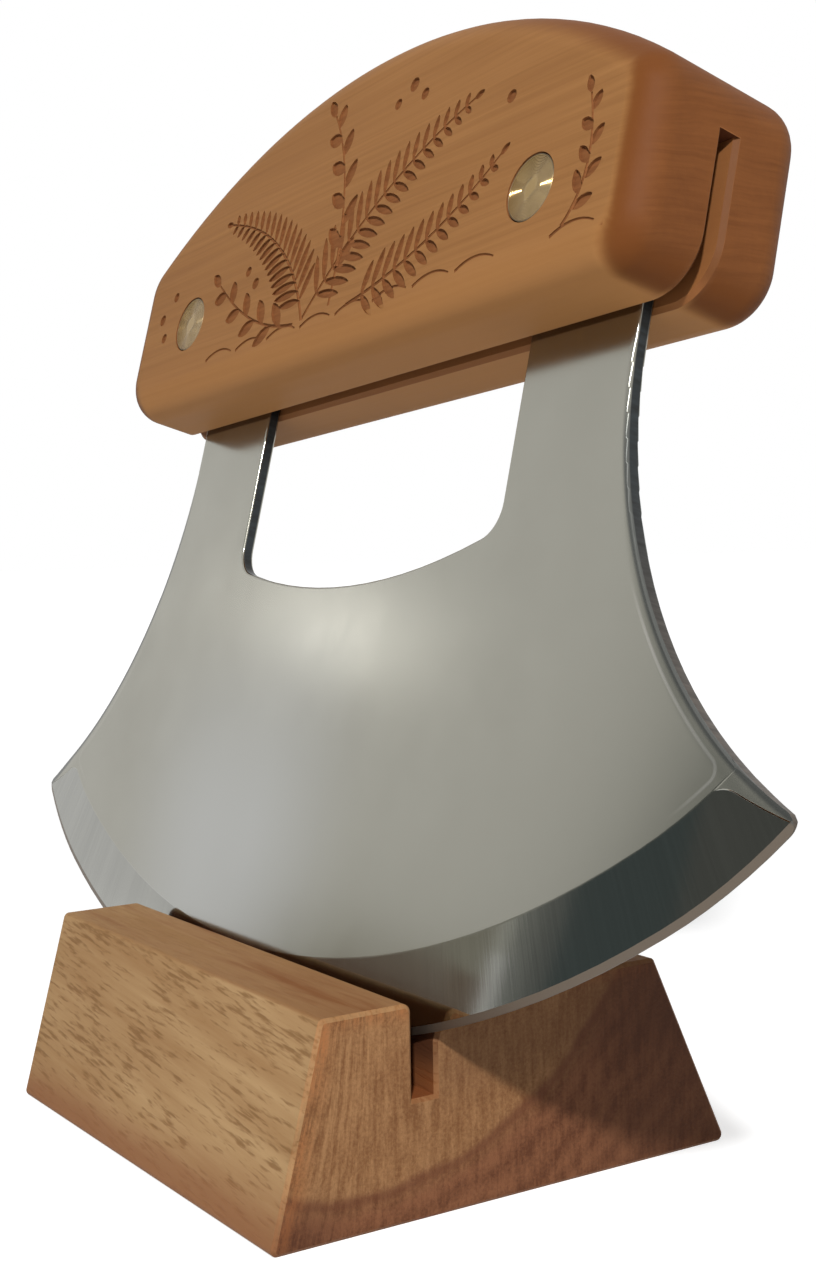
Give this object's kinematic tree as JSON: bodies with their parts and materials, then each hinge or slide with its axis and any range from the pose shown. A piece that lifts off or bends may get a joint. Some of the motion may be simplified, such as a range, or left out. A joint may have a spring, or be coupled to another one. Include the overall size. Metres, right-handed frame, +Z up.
{
  "type": "ulu knife with stand",
  "caption": "Rocking knife with a broad crescent blade and an arched wooden handle over a finger window, standing in the slot of a wooden block with sloping sides.",
  "frame": {"origin": "middle of the wooden block's underside", "axes": "+X to the right along the blade, +Y to the back, +Z up"},
  "size_m": [0.1501, 0.0593, 0.1274],
  "materials": {
    "stand_wood": "matt, lightly oiled hardwood with dark flecks",
    "blade_steel": "satin stainless plate with ground bevels",
    "handle_wood": "sanded and oiled hardwood with a burnt engraving on the front",
    "rivet_metal": "turned flat heads"
  },
  "bodies": {
    "stand": {"stand_block": "stand_wood"},
    "knife": {"blade": "blade_steel", "handle": "handle_wood", "left_rivet_socket": "rivet_metal", "left_rivet_pin": "rivet_metal", "right_rivet_socket": "rivet_metal", "right_rivet_pin": "rivet_metal"}
  },
  "joints": [
    {"name": "knife_lift", "type": "slide", "parent": "stand", "child": "knife", "axis": [0, 0.2847, 0.9586], "range_m": [0, 0.06]}
  ]
}
